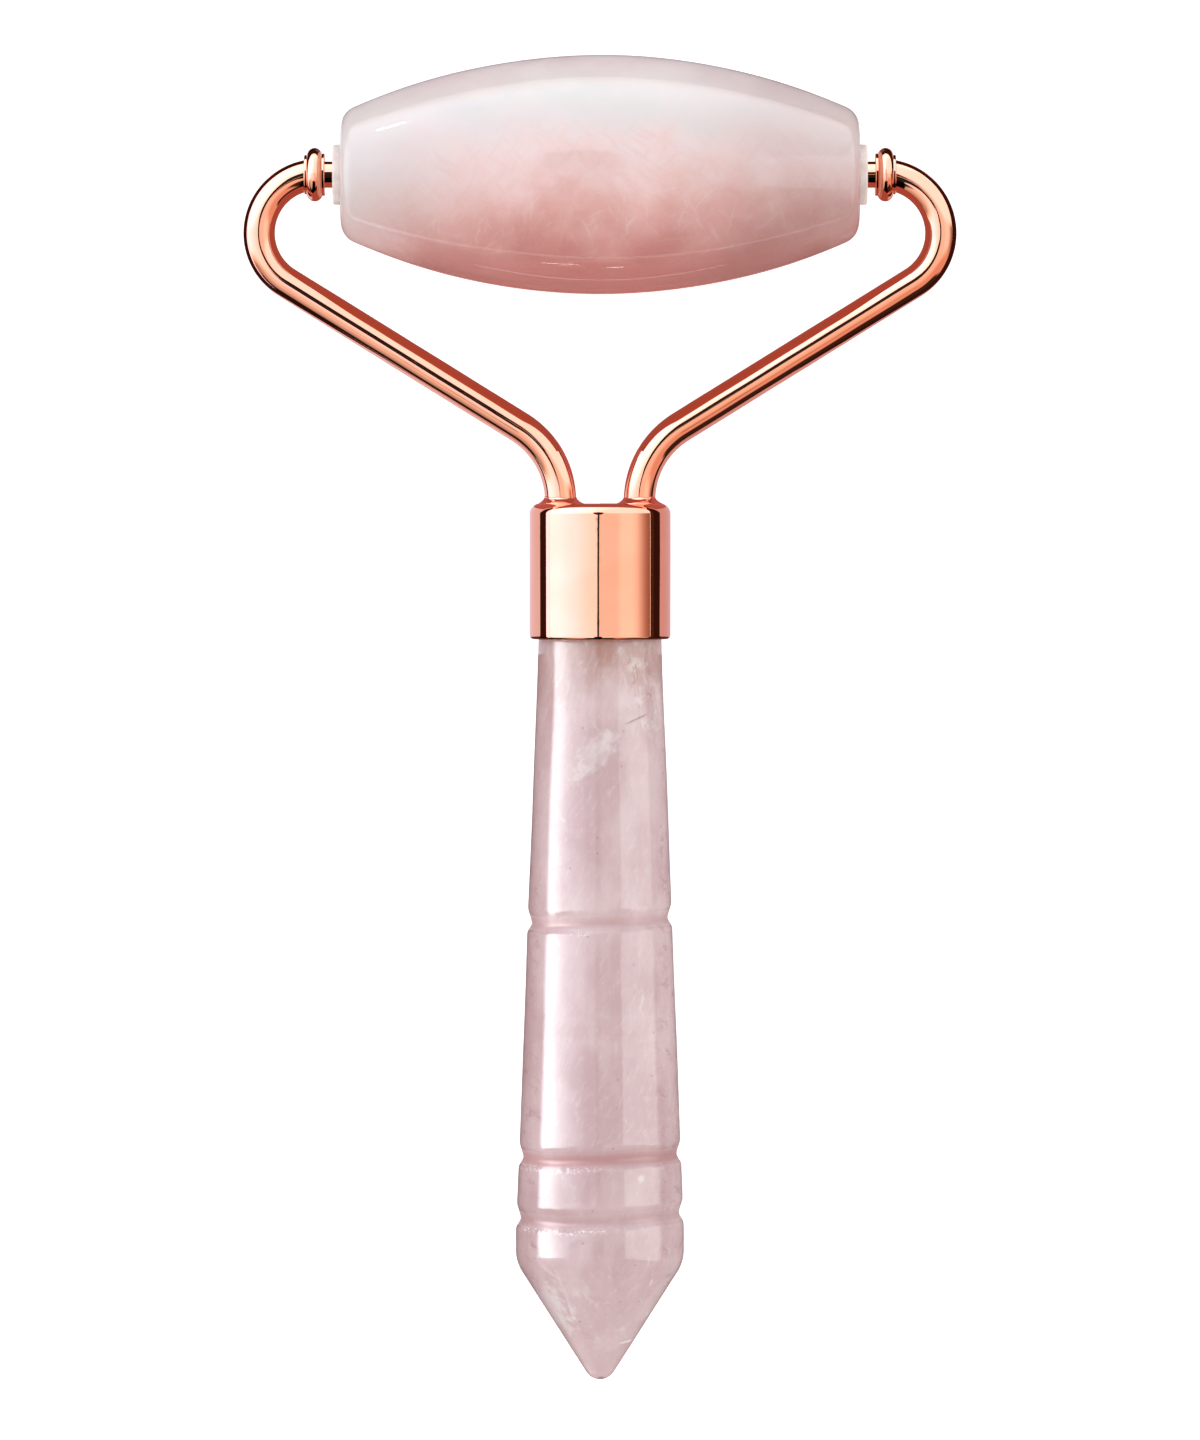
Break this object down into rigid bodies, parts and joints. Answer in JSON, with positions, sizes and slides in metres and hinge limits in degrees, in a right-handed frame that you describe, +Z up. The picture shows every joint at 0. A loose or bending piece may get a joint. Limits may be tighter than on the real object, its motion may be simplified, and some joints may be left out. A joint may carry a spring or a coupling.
{
  "type": "face roller",
  "caption": "Barrel-shaped rose quartz roller spinning in a two-armed rose gold yoke, on a long quartz handle with ring grooves and a blunt point.",
  "frame": {"origin": "bottom centre of the tool's box as it lies on a table, resting on the roller's belly and the handle's shoulder", "axes": "+X along the roller's axis, +Y from the handle's point towards the roller, +Z up from the table; X = 0 is the plane of symmetry"},
  "size_m": [0.0758, 0.141, 0.0254],
  "materials": {
    "roller_quartz": "polished, milky pink with white clouds",
    "handle_quartz": "polished, translucent mauve pink with veils",
    "rose_gold": "mirror-polished rose gold plate",
    "rose_gold_braze": "plated over uneven solder",
    "white_nylon": "translucent moulded",
    "adhesive": "cured clear"
  },
  "bodies": {
    "yoke_and_handle": {"left_arm": "rose_gold", "right_arm": "rose_gold", "left_collar": "rose_gold", "right_collar": "rose_gold", "left_braze": "rose_gold_braze", "right_braze": "rose_gold_braze", "ferrule": "rose_gold", "handle_adhesive": "adhesive", "handle_stone": "handle_quartz"},
    "roller": {"roller_stone": "roller_quartz", "left_bushing": "white_nylon", "right_bushing": "white_nylon", "left_bushing_adhesive": "adhesive", "right_bushing_adhesive": "adhesive"}
  },
  "joints": [
    {"name": "roller_spin", "type": "hinge", "parent": "yoke_and_handle", "child": "roller", "pos_m": [0, 0.05777, 0.0127], "axis": [1, 0, 0], "continuous": true}
  ]
}
